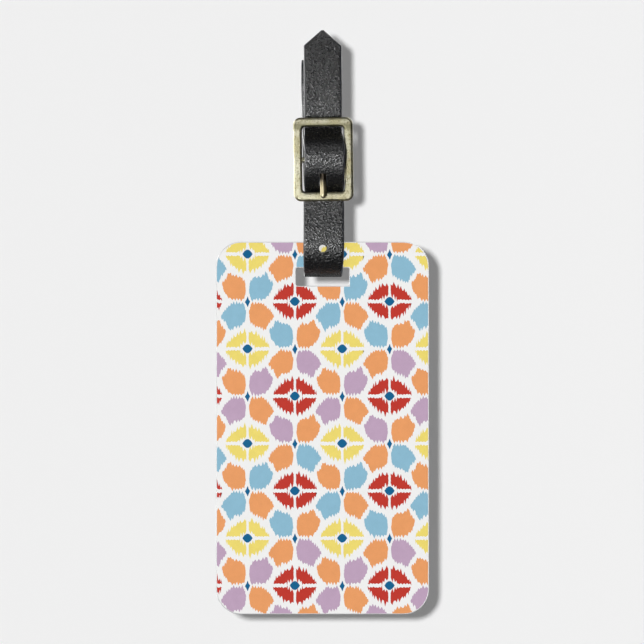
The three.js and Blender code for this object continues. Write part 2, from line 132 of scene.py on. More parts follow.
LEATHER_EDGE_ROUND = 0.42
LEATHER_CREASE = 42  # degrees; sharper edges stay hard

# ---- the prong ----
PRONG_WIDTH = 1.55
PRONG_THICKNESS = 1
PRONG_TIP = 99.3
PRONG_POINT = 0.75  # length of its rounded end
PRONG_RUNNING_GAP = 0.08  # round the centre bar, and in front of the bottom bar
PRONG_SHIFT = 0.1
PRONG_LIFT = math.radians(6)

# Depths of the strap's layers, worked out from the buckle outwards.
BEHIND_BARS = BUCKLE_DEPTH + FRAME_THICKNESS / 2 + LAYER_GAP + LEATHER / 2
WRAP_RADIUS = BAR_RADIUS + WRAP_GAP + SKIVED / 2
PRONG_RING = BAR_RADIUS + PRONG_RUNNING_GAP + PRONG_THICKNESS / 2
CREST = BUCKLE_DEPTH - PRONG_RING - PRONG_THICKNESS / 2 - CREST_GAP - LEATHER / 2
LOOP_FRONT = BEHIND_BARS + LEATHER + LAYER_GAP
LOOP_MIDDLE = LOOP_FRONT + LOOP_DEPTH / 2
LOOP_REAR = LOOP_FRONT + LOOP_DEPTH
LOOP_CENTRE = LOOP_TOP - LEATHER / 2 - LOOP_DEPTH / 2
SHORT_END = LOOP_FRONT + LEATHER / 2 + WRAP_GAP + SKIVED / 2
ORIGIN = Vector((0, LOOP_MIDDLE, LOOP_TOP - LEATHER))

# ---- the stage ----
VIEW_SIZE = 0.1537  # metres across the picture
VIEW_MIDDLE = (-0.12, 69.76)
CAMERA_DEPTH = -420
WALL_DEPTH = 1200
FLOOR_DROP = 26  # below the plate
STAGE_REACH = 3.0  # metres, from the middle to either side
SHADOW_OFFSET = (2.7, 1.3)  # on the wall: to the right and down
SHADOW_BLUR = 1.65
BACKDROP = 0.863  # the background's brightness, also as the wall's albedo
WALL_GLOW = 0.095
FLOOR_ALBEDO = 0.25
FLOOR_GLOW = 0.8
AMBIENT = 0.12  # the world's light on dull surfaces
AMBIENT_IN_MIRRORS = -0.07  # added to it in reflections
SUN_STRENGTH = 0.745


def place(x, depth, height):
    """A point given in the plate's frame, in the row frame's metres."""
    return (Vector((x, depth, height)) - ORIGIN) * MM


# ---- materials ----

GRAIN_SIZE = 0.46  # millimetres from dome to dome in the leather
GRAIN_DEPTH = 0.088
SHADED_BAND_LEVEL = -14.7  # height in the row frame of the top bar's lower edge, where a band of painted shade darkens the brass
PRONG_SHADE_HEIGHTS = (-27.2, -29.2)  # heights in the row frame between which the prong turns from painted shade at its top, under the strap's hole, to its own bright colour


class Graph:
    """A material's node tree, written as calls that return sockets."""

    def __init__(self, name):
        self.material = bpy.data.materials.new(name)
        self.material.use_nodes = True
        self.tree = self.material.node_tree
        self.shader = self.tree.nodes["Principled BSDF"]

    def node(self, kind, inputs, output=0, **settings):
        made = self.tree.nodes.new(kind)
        for key, value in settings.items():
            setattr(made, key, value)
        for key, value in inputs.items():
            self.feed(made.inputs[key], value)
        return made.outputs[output]

    def feed(self, socket, value):
        if isinstance(value, bpy.types.NodeSocket):
            self.tree.links.new(value, socket)
        elif socket.type == "RGBA" and len(value) == 3:
            socket.default_value = (*value, 1)
        else:
            socket.default_value = value

    def surface(self, **inputs):
        for key, value in inputs.items():
            self.feed(self.shader.inputs[key.replace("_", " ")], value)
        return self.material

    def uv(self):
        """The leather's own coordinates: millimetres round it and along it."""
        return self.node("ShaderNodeUVMap", {})

    def place(self):
        """The object's own coordinates, in millimetres."""
        return self.scaled(self.node("ShaderNodeTexCoord", {}, output=3), (1 / MM,) * 3)

    def height(self):
        """The height in the object's own coordinates, in millimetres."""
        return self.node("ShaderNodeSeparateXYZ", {0: self.place()}, output=2)

    def scaled(self, vector, factors):
        return self.node("ShaderNodeVectorMath", {0: vector, 1: factors}, operation="MULTIPLY")

    def warped(self, vector, scale, amount):
        """The coordinates, pushed about by a noise."""
        shift = self.node("ShaderNodeTexNoise", {"Vector": vector, "Scale": scale, "Detail": 2.0}, output=1)
        centred = self.node("ShaderNodeVectorMath", {0: shift, 1: (0.5, 0.5, 0.5)}, operation="SUBTRACT")
        moved = self.scaled(centred, (amount, amount, amount))
        return self.node("ShaderNodeVectorMath", {0: vector, 1: moved}, operation="ADD")

    def noise(self, vector, scale, detail=2.0, roughness=0.5, distortion=0.0):
        inputs = {
            "Vector": vector,
            "Scale": scale,
            "Detail": detail,
            "Roughness": roughness,
            "Distortion": distortion,
        }
        return self.node("ShaderNodeTexNoise", inputs)

    def ranged(self, value, low, high, to_low=0.0, to_high=1.0):
        return self.node("ShaderNodeMapRange", {0: value, 1: low, 2: high, 3: to_low, 4: to_high})

    def math(self, operation, a, b=0.0):
        return self.node("ShaderNodeMath", {0: a, 1: b}, operation=operation)

    def blend(self, share, low, high):
        return self.node("ShaderNodeMix", {0: share, 6: low, 7: high}, output=2, data_type="RGBA")

    def bump(self, height, depth_mm, strength=1.0):
        inputs = {"Height": height, "Distance": depth_mm * MM, "Strength": strength}
        return self.node("ShaderNodeBump", inputs)


def leather_grain():
    """Black pebbled leather in a waxy finish: small domes that each catch the light at their own angle."""
    g = Graph("leather_grain")
    where = g.warped(g.uv(), 1.6, 0.25)
    cells = g.node("ShaderNodeTexVoronoi", {"Vector": where, "Scale": 1 / GRAIN_SIZE})
    dome = g.math("MULTIPLY", cells, cells)
    pores = g.noise(g.uv(), 5.0, detail=2.0)
    height = g.math("SUBTRACT", g.math("MULTIPLY", pores, 0.3), dome)
    # painted light and shade: the dome tops are lighter and the valleys between them darker
    tone = g.blend(g.ranged(dome, 0.05, 0.3), (0.005, 0.0054, 0.0068), (0.0008, 0.0008, 0.001))
    roughness = g.ranged(dome, 0.05, 0.35, 0.22, 0.4)
    return g.surface(
        Base_Color=tone,
        Roughness=roughness,
        Specular_IOR_Level=1.0,
        Normal=g.bump(height, GRAIN_DEPTH),
    )


def leather_edge():
    """The strap's cut edge: painted black, rubbed smooth, slightly wavy."""
    g = Graph("leather_edge")
    waves = g.noise(g.scaled(g.uv(), (1.0, 0.35, 1.0)), 1.4, detail=3.0)
    tone = g.blend(g.ranged(waves, 0.35, 0.7), (0.009, 0.01, 0.013), (0.016, 0.0175, 0.022))
    roughness = g.ranged(waves, 0.3, 0.7, 0.26, 0.36)
    return g.surface(
        Base_Color=tone,
        Roughness=roughness,
        Specular_IOR_Level=1.0,
        Normal=g.bump(waves, 0.04, 0.6),
    )


def leather_flesh():
    """The strap's inner face: short matted fibres, dyed through."""
    g = Graph("leather_flesh")
    fibres = g.noise(g.scaled(g.uv(), (1.0, 0.3, 1.0)), 5.0, detail=5.0, roughness=0.7, distortion=0.8)
    clumps = g.noise(g.uv(), 0.9, detail=2.0)
    tone = g.blend(fibres, (0.012, 0.011, 0.0105), (0.05, 0.047, 0.044))
    tone = g.blend(g.ranged(clumps, 0.35, 0.75), tone, (0.028, 0.026, 0.024))
    return g.surface(Base_Color=tone, Roughness=0.88, Normal=g.bump(fibres, 0.12, 0.8))


def cast_brass():
    """Antique brass, stippled by the casting, with a grey-green bloom and dark pits, and painted shade: a
    dark band across the frame at the top bar's lower edge.
    """
    g = Graph("cast_brass")
    stipple = g.noise(g.place(), 2.4, detail=3.0, roughness=0.6)
    patina = g.noise(g.place(), 0.28, detail=3.0)
    tone = g.blend(g.ranged(patina, 0.35, 0.65), (0.40, 0.37, 0.23), (0.50, 0.48, 0.36))
    tone = g.blend(g.ranged(stipple, 0.3, 0.48), (0.20, 0.18, 0.10), tone)
    # painted shade: the brass is darkened in a band round the top bar's lower edge, where the leather bent
    # over the centre bar shades it
    from_bar = g.math("ABSOLUTE", g.math("SUBTRACT", g.height(), SHADED_BAND_LEVEL))
    tone = g.blend(g.ranged(from_bar, 0.4, 1.2, 0.75, 0.0), tone, (0.13, 0.12, 0.055))
    roughness = g.ranged(stipple, 0.3, 0.7, 0.46, 0.38)
    return g.surface(Base_Color=tone, Metallic=1.0, Roughness=roughness, Normal=g.bump(stipple, 0.05, 0.6))


def bright_brass():
    """The prong's golden wire, drawn and polished, with fine lines along it."""
    g = Graph("bright_brass")
    lines = g.noise(g.scaled(g.place(), (6.0, 6.0, 0.6)), 1.4, detail=2.0)
    spots = g.noise(g.place(), 0.9, detail=3.0)
    tone = g.blend(g.ranged(spots, 0.35, 0.7), (0.44, 0.38, 0.24), (0.56, 0.50, 0.34))
    # painted shade: the prong's top, where it comes out of the strap's hole, is darkened
    tone = g.blend(g.ranged(g.height(), PRONG_SHADE_HEIGHTS[1], PRONG_SHADE_HEIGHTS[0]), tone, (0.05, 0.04, 0.03))
    roughness = g.ranged(spots, 0.3, 0.7, 0.28, 0.38)
    return g.surface(Base_Color=tone, Metallic=1.0, Roughness=roughness, Normal=g.bump(lines, 0.02, 0.5))


def waxed_thread():
    """Waxed black thread, with the twist of its plies."""
    g = Graph("waxed_thread")
    inputs = {"Vector": g.place(), "Scale": 1.6, "Distortion": 0.6}
    plies = g.node("ShaderNodeTexWave", inputs, output=1, bands_direction="DIAGONAL")
    tone = g.blend(plies, (0.006, 0.006, 0.007), (0.035, 0.035, 0.038))
    return g.surface(Base_Color=tone, Roughness=0.6, Normal=g.bump(plies, 0.08, 0.8))


def acrylic():
    """White cast acrylic: glossy and faintly cloudy, its edges' saw lines polished almost away."""
    g = Graph("white_acrylic")
    cloud = g.noise(g.place(), 0.12, detail=2.0)
    lines = g.noise(g.scaled(g.place(), (1.0, 6.0, 1.0)), 1.2, detail=2.0)
    tone = g.blend(cloud, (0.80, 0.81, 0.82), (0.88, 0.88, 0.87))
    roughness = g.ranged(lines, 0.3, 0.7, 0.1, 0.2)
    g.surface(Subsurface_Weight=0.25, Subsurface_Radius=(0.0012, 0.0012, 0.0012), Subsurface_Scale=1.0)
    return g.surface(Base_Color=tone, Roughness=roughness, Normal=g.bump(lines, 0.01, 0.35))


def printed(name, colour, spread=0.06):
    """Ink or white print under a clear gloss: softly uneven in tone, with a very slight ripple."""
    g = Graph(name)
    wash = g.noise(g.place(), 0.55, detail=4.0, roughness=0.6)
    weave = g.noise(g.scaled(g.place(), (3.2, 1.0, 1.1)), 2.2, detail=2.0)
    share = g.math("ADD", g.ranged(wash, 0.25, 0.75, 0.0, 0.6), g.ranged(weave, 0.3, 0.7, 0.0, 0.4))
    dark = tuple(c * (1 - spread) for c in colour)
    light = tuple(min(c * (1 + spread), 0.98) for c in colour)
    return g.surface(
        Base_Color=g.blend(share, dark, light),
        Specular_IOR_Level=0.12,
        Roughness=g.ranged(wash, 0.3, 0.7, 0.07, 0.1),
        Normal=g.bump(wash, 0.012, 0.3),
    )


# ---- meshes ----

SAME_PLACE = 1e-4  # corners closer than this are one corner


def object_from(name, vertices, faces, uvs=None, materials=(), indices=None):
    """A smooth-shaded mesh object. uvs holds one list of corners for each face."""
    mesh = bpy.data.meshes.new(name)
    mesh.from_pydata(vertices, [], faces)
    for material in materials:
        mesh.materials.append(material)
    if indices:
        mesh.polygons.foreach_set("material_index", indices)
    if uvs:
        layer = mesh.uv_layers.new(name="UVMap")
        layer.data.foreach_set("uv", [number for face in uvs for corner in face for number in corner])
    mesh.update()
    made = bpy.data.objects.new(name, mesh)
    bpy.context.scene.collection.objects.link(made)
    return made


def smooth_up_to(piece, degrees):
    """Shades the piece smooth, with edges sharper than this kept hard."""
    piece.data.shade_smooth()
    piece.data.set_sharp_from_angle(angle=math.radians(degrees))


def apply_modifiers(piece):
    """Replaces the piece's mesh by what its modifiers make of it."""
    evaluated = piece.evaluated_get(bpy.context.evaluated_depsgraph_get())
    mesh = bpy.data.meshes.new_from_object(evaluated)
    piece.modifiers.clear()
    old = piece.data
    piece.data = mesh
    bpy.data.meshes.remove(old)


def rounded_rectangle(x, y, width, height, radius, steps=10):
    """The corners of a rounded rectangle, anticlockwise."""
    points = []
    for sign_x, sign_y, start in ((1, -1, -90), (1, 1, 0), (-1, 1, 90), (-1, -1, 180)):
        centre_x = x + sign_x * (width / 2 - radius)
        centre_y = y + sign_y * (height / 2 - radius)
        for i in range(steps + 1):
            turn = math.radians(start + 90 * i / steps)
            points.append((centre_x + radius * math.cos(turn), centre_y + radius * math.sin(turn)))
    return points


SLAB_CREASE = 35  # degrees; sharper edges stay hard


def slab(name, outlines, thickness, depth, edge_round, material, round_steps=3):
    """A flat upright plate with rounded edges, cut to the outlines: the first outside, the others holes."""
    curve = bpy.data.curves.new(name, "CURVE")
    curve.dimensions = "2D"
    curve.fill_mode = "BOTH"
    curve.extrude = thickness / 2 - edge_round
    curve.bevel_depth = edge_round
    curve.bevel_resolution = round_steps
    curve.offset = -edge_round
    for outline in outlines:
        spline = curve.splines.new("POLY")
        spline.points.add(len(outline) - 1)
        for point, (x, y) in zip(spline.points, outline):
            point.co = (x, y, 0, 1)
        spline.use_cyclic_u = True
    drawn = bpy.data.objects.new(name + "_curve", curve)
    bpy.context.scene.collection.objects.link(drawn)
    evaluated = drawn.evaluated_get(bpy.context.evaluated_depsgraph_get())
    mesh = bpy.data.meshes.new_from_object(evaluated)
    mesh.name = name
    bpy.data.objects.remove(drawn)
    piece = stood_up(name, mesh, depth)
    weld(piece)
    mesh.materials.clear()
    mesh.materials.append(material)
    smooth_up_to(piece, SLAB_CREASE)
    level = piece.modifiers.new("flat faces keep their own normals", "WEIGHTED_NORMAL")
    level.keep_sharp = True
    level.weight = 100
    apply_modifiers(piece)
    return piece


def stood_up(name, mesh, depth):
    """An object from a mesh drawn flat, stood upright at a depth."""
    mesh.transform(Matrix.Rotation(math.radians(90), 4, "X"))
    mesh.transform(Matrix.Translation((0, depth, 0)))
    piece = bpy.data.objects.new(name, mesh)
    bpy.context.scene.collection.objects.link(piece)
    return piece


def weld(piece):
    """Joins the corners that lie on each other and turns every face outwards."""
    work = bmesh.new()
    work.from_mesh(piece.data)
    bmesh.ops.remove_doubles(work, verts=work.verts, dist=SAME_PLACE)
    bmesh.ops.recalc_face_normals(work, faces=work.faces)
    work.to_mesh(piece.data)
    work.free()


def to_row_frame(piece):
    """Moves a piece drawn in millimetres in the plate's frame into the row frame's metres."""
    piece.data.transform(Matrix.Scale(MM, 4) @ Matrix.Translation(-ORIGIN))
    piece.data.update()
    return piece


CAP_UV_SHIFT = 30  # keeps the end faces' coordinates away from the sides'


def swept(name, stations, ring, materials, kinds=None):
    """Sweeps a cross-section along stations, in millimetres.

    ring(station) gives the section's corners as (across, through), and kinds is each side's material.
    UV is the distance round the section and the distance along.
    """
    vertices, sections = [], []
    for station in stations:
        corners = ring(station)
        sections.append(corners)
        for across, through in corners:
            vertices.append(station["middle"] + station["across"] * across + station["through"] * through)
    count = len(sections[0])
    around = [[0.0] for _ in sections]
    for corners, lengths in zip(sections, around):
        for j in range(count):
            a, b = corners[j], corners[(j + 1) % count]
            lengths.append(lengths[-1] + math.dist(a, b))
    faces, uvs, indices = [], [], []
    for i in range(len(stations) - 1):
        for j in range(count):
            k = (j + 1) % count
            faces.append((i * count + j, i * count + k, (i + 1) * count + k, (i + 1) * count + j))
            low, high = stations[i]["along"], stations[i + 1]["along"]
            uvs.append((
                (around[i][j], low),
                (around[i][j + 1], low),
                (around[i + 1][j + 1], high),
                (around[i + 1][j], high),
            ))
            indices.append(kinds[j] if kinds else 0)
    for station, first in ((0, 0), (len(stations) - 1, (len(stations) - 1) * count)):
        faces.append(tuple(range(first, first + count)))
        uvs.append(tuple((a + CAP_UV_SHIFT, stations[station]["along"] + b) for a, b in sections[station]))
        indices.append(1 if kinds else 0)
    piece = object_from(name, vertices, faces, uvs, materials, indices)
    weld(piece)
    return piece


def cut(piece, cutters):
    """Cuts the cutters out of the piece and removes them."""
    for cutter in cutters:
        modifier = piece.modifiers.new("cut", "BOOLEAN")
        modifier.operation = "DIFFERENCE"
        modifier.solver = "EXACT"
        modifier.object = cutter
    bpy.context.view_layer.update()
    apply_modifiers(piece)
    for cutter in cutters:
        bpy.data.objects.remove(cutter)


# ---- routes in the side view: lists of (depth, height) ----


def line(start, end, steps):
    """A straight route."""
    return [tuple(a + (b - a) * i / steps for a, b in zip(start, end)) for i in range(steps + 1)]


def arc(centre, half_depth, from_degrees, to_degrees, steps, half_height=None):
    """Part of a circle, or of an ellipse when its half height is given too."""
    half_height = half_height or half_depth
    points = []
    for i in range(steps + 1):
        turn = math.radians(from_degrees + (to_degrees - from_degrees) * i / steps)
        points.append((centre[0] + half_depth * math.cos(turn), centre[1] + half_height * math.sin(turn)))
    return points


def bend(start, end, reach_start, reach_end, steps):
    """A bend that leaves one point and reaches another upright. A reach below 0 starts downwards."""
    corners = (start, (start[0], start[1] + reach_start), (end[0], end[1] - reach_end), end)
    points = []
    for i in range(steps + 1):
        t = i / steps
        weights = ((1 - t) ** 3, 3 * (1 - t) ** 2 * t, 3 * (1 - t) * t * t, t**3)
        points.append(tuple(sum(w * corner[axis] for w, corner in zip(weights, corners)) for axis in (0, 1)))
    return points


def directions(route):
    """The unit vector along the route at each of its points."""
    found = []
    for i in range(len(route)):
        before, after = route[max(i - 1, 0)], route[min(i + 1, len(route) - 1)]
        length = math.dist(before, after)
        found.append(((after[0] - before[0]) / length, (after[1] - before[1]) / length))
    return found


def beside(route, near, far):
    """A route beside another one, at distances that go evenly from near to far."""
    moved = []
    for i, ((depth, height), (along_depth, along_height)) in enumerate(zip(route, directions(route))):
        distance = near + (far - near) * i / (len(route) - 1)
        moved.append((depth + distance * along_height, height - distance * along_depth))
    return moved


def mix(low, high, t):
    return low + (high - low) * t


def smooth(t):
    """An easing that starts and ends slowly."""
    return t * t * (3 - 2 * t)


def evenly(t):
    """An easing that doesn't ease."""
    return t


def stretch(route, shift, thickness=(LEATHER, LEATHER), spread=(0, 0), ease=smooth):
    """One stretch of the strap: its route, and how its shift, thickness and spread change along it."""
    stations = []
    for i, ((depth, height), (along_depth, along_height)) in enumerate(zip(route, directions(route))):
        t = ease(i / (len(route) - 1))
        stations.append({
            "middle": Vector((mix(*shift, t), depth, height)),
            "across": Vector((1, 0, 0)),
            "through": Vector((0, -along_height, along_depth)),
            "half_width": (STRAP_WIDTH + mix(*spread, t)) / 2,
            "half_thickness": mix(*thickness, t) / 2,
        })
    return stations


def joined(stretches, start=0.0):
    """Joins stretches end to end and measures the distance along them."""
    stations = list(stretches[0])
    for part in stretches[1:]:
        stations += part[1:]
    distance = start
    for i, station in enumerate(stations):
        if i:
            distance += (station["middle"] - stations[i - 1]["middle"]).length
        station["along"] = distance
    return stations


# ---- the strap's pieces ----

OVER_BAR = (CREST, BAR_HEIGHT + CREST_RISE)
BELOW_BAR = (BEHIND_BARS, LEG_TOP)
ABOVE_BAR = (BEHIND_BARS, TAIL_BOTTOM)
RISE = bend(BELOW_BAR, OVER_BAR, 1.2, 6.8, 44)
FALL = bend(OVER_BAR, ABOVE_BAR, 3.6, 2.8, 40)
GRAIN_SIDE_STEPS = 12
EDGE_STEPS = 5


def leather_ring(station):
    """The strap's section: two flat faces and rounded edges. Its corners start on the grain side's left."""
    width, thickness = station["half_width"], station["half_thickness"]
    radius = min(LEATHER_EDGE_ROUND, width * 0.8, thickness * 0.75)
    corners = []
    for side_x, side_y, start in ((1, 1, 90), (1, -1, 0), (-1, -1, -90), (-1, 1, 180)):
        if side_x == side_y:
            flat = width - radius
            for i in range(1, GRAIN_SIDE_STEPS):
                corners.append((mix(-flat, flat, i / GRAIN_SIDE_STEPS) * side_x, thickness * side_y))
        for i in range(EDGE_STEPS + 1):
            turn = math.radians(start - 90 * i / EDGE_STEPS)
            corners.append((
                side_x * (width - radius) + radius * math.cos(turn),
                side_y * (thickness - radius) + radius * math.sin(turn),
            ))
    return corners


def leather_kinds():
    """The material of each side of leather_ring: 0 grain, 1 edge, 2 flesh."""
    edge = [1] * (2 * EDGE_STEPS + 1)
    return [0] * (GRAIN_SIDE_STEPS - 1) + edge + [2] * GRAIN_SIDE_STEPS + edge + [0]


def strap_stations():
    """The strap from its fixed end: round the centre bar, over the loop, through the plate, to the seam."""
    body = beside(FALL, -CREST + BUCKLE_DEPTH - WRAP_RADIUS, LOOP_FRONT - BEHIND_BARS)
    short_start = (SHORT_END, ABOVE_BAR[1])
    short_bend = bend(short_start, (BUCKLE_DEPTH + WRAP_RADIUS, BAR_HEIGHT), -4, -2.6, 24)
    thin = (SKIVED, SKIVED)
    rear = bend((LOOP_REAR, LOOP_CENTRE), (EYE_RADIUS, BRIDGE_MIDDLE), -22, -12, 60)
    fold_height = FOLD_TOP - BRIDGE_MIDDLE + EYE_RADIUS
    eye_front = arc((0, FOLD_TOP), FOLD_DEPTH, -90, -180, 36, fold_height)
    leg = bend((-FOLD_DEPTH, FOLD_TOP), BELOW_BAR, 4, 4, 36)
    leg_narrows = 27  # the step of the leg from which it narrows towards the frame
    legs = (LEG_SHIFT, LEG_SHIFT)
    return joined([
        stretch(line((SHORT_END, SHORT_END_TOP), short_start, 14), (LOOP_SHIFT, NECK_SHIFT), thin),
        stretch(short_bend, (NECK_SHIFT, WRAP_SHIFT), thin),
        stretch(arc((BUCKLE_DEPTH, BAR_HEIGHT), WRAP_RADIUS, 0, -180, 20), (WRAP_SHIFT, WRAP_SHIFT), thin),
        stretch(body, (WRAP_SHIFT, NECK_SHIFT), (SKIVED, LEATHER)),
        stretch(line((LOOP_FRONT, ABOVE_BAR[1]), (LOOP_FRONT, LOOP_CENTRE), 16), (NECK_SHIFT, LOOP_SHIFT)),
        stretch(arc((LOOP_MIDDLE, LOOP_CENTRE), LOOP_DEPTH / 2, 180, 0, 32), (LOOP_SHIFT, LOOP_SHIFT)),
        stretch(rear, (LOOP_SHIFT, REAR_SHIFT), ease=evenly),
        stretch(arc((0, BRIDGE_MIDDLE), EYE_RADIUS, 0, -90, 20), (REAR_SHIFT, EYE_SHIFT)),
        stretch(eye_front, (EYE_SHIFT, LEG_SHIFT), spread=(0, LEG_SPREAD)),
        stretch(leg[: leg_narrows + 1], legs, spread=(LEG_SPREAD, LEG_SPREAD)),
        stretch(leg[leg_narrows:], legs, spread=(LEG_SPREAD, FRAME_SPREAD)),
        stretch(RISE, (LEG_SHIFT, CREST_SHIFT), spread=(FRAME_SPREAD, CREST_SPREAD)),
        stretch(FALL, (CREST_SHIFT, TAIL_SHIFT), spread=(CREST_SPREAD, 0)),
        stretch(line(ABOVE_BAR, (BEHIND_BARS, HIDDEN_SEAM), 2), (TAIL_SHIFT, TAIL_SHIFT)),
    ])


def station_back(stations, start, distance):
    """The place at a distance along the strap from a station, counted towards the fixed end."""
    target = stations[start]["along"] - distance
    i = max(index for index, station in enumerate(stations) if station["along"] <= target)
    t = (target - stations[i]["along"]) / (stations[i + 1]["along"] - stations[i]["along"])
    return {**stations[i], "middle": stations[i]["middle"].lerp(stations[i + 1]["middle"], t)}


def prism(name, outline, start, end):
    """A cutter: an outline of (depth, height) points, from x = start to x = end."""
    count = len(outline)
    vertices = [(x, depth, height) for x in (start, end) for depth, height in outline]
    faces = [tuple(range(count)), tuple(range(2 * count - 1, count - 1, -1))]
    faces += [(i, (i + 1) % count, count + (i + 1) % count, count + i) for i in range(count)]
    piece = object_from(name, vertices, faces)
    weld(piece)
    return piece


def punch(station):
    """A cutter for one round hole, with a slight dish at the grain side where the leather was pressed in."""
    dish = HOLE_RADIUS * 1.22
    profile = [
        (dish, LEATHER),
        (dish, LEATHER / 2 + 0.02),
        (HOLE_RADIUS, LEATHER / 2 - 0.1),
        (HOLE_RADIUS * 0.97, -LEATHER),
    ]
    sides = 40
    along = station["across"].cross(station["through"])
    middle = station["middle"] + station["across"] * HOLE_SHIFT
    vertices = []
    for radius, level in profile:
        for i in range(sides):
            turn = 2 * math.pi * i / sides
            flat = station["across"] * math.cos(turn) + along * math.sin(turn)
            vertices.append(middle + flat * radius + station["through"] * level)
    faces = [tuple(range(sides)), tuple(range(len(vertices) - 1, len(vertices) - sides - 1, -1))]
    for level in range(len(profile) - 1):
        low, high = level * sides, (level + 1) * sides
        for i in range(sides):
            j = (i + 1) % sides
            faces.append((low + i, low + j, high + j, high + i))
    piece = object_from("punch", vertices, faces)
    weld(piece)
    return piece


def prong_way():
    """The way cut through the sloping leather for the prong, with room on three sides of it."""
    front_room, back_room, top_room = 0.18, 0.25, 0.4
    front = BUCKLE_DEPTH - PRONG_RING - PRONG_THICKNESS / 2 - front_room
    back = BUCKLE_DEPTH - PRONG_RING + PRONG_THICKNESS / 2 + back_room
    top, bottom = BAR_HEIGHT + top_room, FRAME_BOTTOM + 3
    swing = (BAR_HEIGHT - bottom) * math.tan(PRONG_LIFT)
    outline = [(front, top), (front - swing, bottom), (back, bottom), (back, top)]
    return prism("way", outline, PRONG_SHIFT - PRONG_HOLE_WIDTH / 2, PRONG_SHIFT + PRONG_HOLE_WIDTH / 2)


def fold_slot():
    """The slot in the fixed end's fold that the prong's ring turns in."""
    outline = arc((BUCKLE_DEPTH, BAR_HEIGHT), FOLD_SLOT_RADIUS, 0, 354, 59)
    return prism("fold_slot", outline, PRONG_SHIFT - PRONG_HOLE_WIDTH / 2, PRONG_SHIFT + PRONG_HOLE_WIDTH / 2)


def build_strap(leathers):
    """The strap up to the hidden seam, with its holes. Returns its length."""
    stations = strap_stations()
    strap = swept("leather_strap", stations, leather_ring, leathers, leather_kinds())
    crest = Vector((CREST_SHIFT, *OVER_BAR))
    over_bar = min(range(len(stations)), key=lambda i: (stations[i]["middle"] - crest).length)
    cutters = [prong_way(), fold_slot()]
    for number in (1, 2):
        distance = CREST_RISE + BAR_TO_HOLE + number * HOLE_SPACING
        cutters.append(punch(station_back(stations, over_bar, distance)))
    for cutter in cutters:
        cutter.data.materials.append(leathers[1])
    cut(strap, cutters)
    smooth_up_to(strap, LEATHER_CREASE)
    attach(to_row_frame(strap), "strap_and_buckle")
    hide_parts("strap")
    return stations[-1]["along"]


def build_free_end(leathers, start):
    """The strap beyond the buckle, up to its point. It bends where it leaves the top bar."""
    bend_start = (BEHIND_BARS, FREE_END_BEND)
    rest_of_bar = line((BEHIND_BARS, HIDDEN_SEAM), bend_start, 4)
    beyond = bend(bend_start, (BEHIND_BARS + FREE_END_LEAN, TIP_APEX), 12, 5, 60)
    stretches = [stretch(rest_of_bar, (TAIL_SHIFT, TAIL_SHIFT)), stretch(beyond, (TAIL_SHIFT, 0))]
    stations = joined(stretches, start)
    for station in stations:
        left = (TIP_APEX - station["middle"].z) / (TIP_APEX - TIP_SHOULDER)
        if left < 1:
            station["half_width"] = mix(TIP_HALF_WIDTH, STRAP_WIDTH / 2, left)
    end = swept("leather_free_end", stations, leather_ring, leathers, leather_kinds())
    smooth_up_to(end, LEATHER_CREASE)
    to_row_frame(end)
    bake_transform(end)
    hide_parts("strap_tail")


# ---- the buckle's pieces ----


def on_strap(piece, shift):
    """Puts a buckle piece, drawn round the centre bar's middle, at its slightly tilted place on the strap."""
    tilt = Matrix.Rotation(FRAME_TILT, 4, "Y")
    piece.data.transform(Matrix.Translation((shift, BUCKLE_DEPTH, BAR_HEIGHT)) @ tilt)
    return to_row_frame(piece)


def build_frame(brass):
    """The cast frame, a rounded rectangle with a window."""
    middle = FRAME_BOTTOM + FRAME_HEIGHT / 2 - BAR_HEIGHT
    window_width, window_height = FRAME_WIDTH - 2 * RAIL, FRAME_HEIGHT - 2 * END_BAR
    outlines = [
        rounded_rectangle(0, middle, FRAME_WIDTH, FRAME_HEIGHT, FRAME_CORNER, 14),
        rounded_rectangle(0, middle, window_width, window_height, WINDOW_CORNER, 10),
    ]
    made = slab("brass_frame", outlines, FRAME_THICKNESS, 0, FRAME_ROUND, brass, round_steps=6)
    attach(on_strap(made, FRAME_SHIFT), "strap_and_buckle")
    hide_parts("buckle_frame")


WIRE_CREASE = 50  # degrees; sharper edges stay hard


def build_prong(brass):
    """One length of wire: an open ring round the centre bar, then straight down to the bottom bar."""
    rest_depth = -FRAME_THICKNESS / 2 - PRONG_RUNNING_GAP - PRONG_THICKNESS / 2
    neck = (rest_depth, PRONG_TIP + PRONG_POINT - BAR_HEIGHT)
    route = arc((0, 0), PRONG_RING, -50, 180, 46) + bend((-PRONG_RING, 0), neck, -2.5, -2.5, 24)[1:]
    stations = stretch(route, (0, 0))
    for station in stations:
        station["half_width"], station["half_thickness"] = PRONG_WIDTH / 2, PRONG_THICKNESS / 2
    last = stations[-1]
    point_steps = 8
    for i in range(1, point_steps + 1):
        turn = math.radians(84 * i / point_steps)
        station = dict(last)
        station["middle"] = last["middle"] - Vector((0, 0, PRONG_POINT * math.sin(turn)))
        station["half_width"] = last["half_width"] * math.cos(turn)
        station["half_thickness"] = last["half_thickness"] * math.cos(turn)
        stations.append(station)
    stations = joined([stations])

    def ring(station):
        sides = 28
        turns = [2 * math.pi * i / sides for i in range(sides)]
        return [(station["half_width"] * math.cos(t), station["half_thickness"] * math.sin(t)) for t in turns]

    made = swept("brass_prong", stations, ring, [brass])
    smooth_up_to(made, WIRE_CREASE)
    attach(on_strap(made, PRONG_SHIFT), "prong")
    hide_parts("prong")


# ---- the plate and its print ----

HALF = 11.3  # half the pattern's period, both ways
FIRST_EYE_COLUMN = 4.7
FIRST_EYE_ROW = 2.93  # below the plate's top edge
SIDES = ((-1, 1), (1, 1), (-1, -1), (1, -1))
TOOTH = 0.36  # width of half a tooth
JITTER = 0.04
CALM = 0.2  # how much of the teeth is left along a calm edge
LOZENGE_TEETH = 0.72
PETAL_TEETH = 1.1


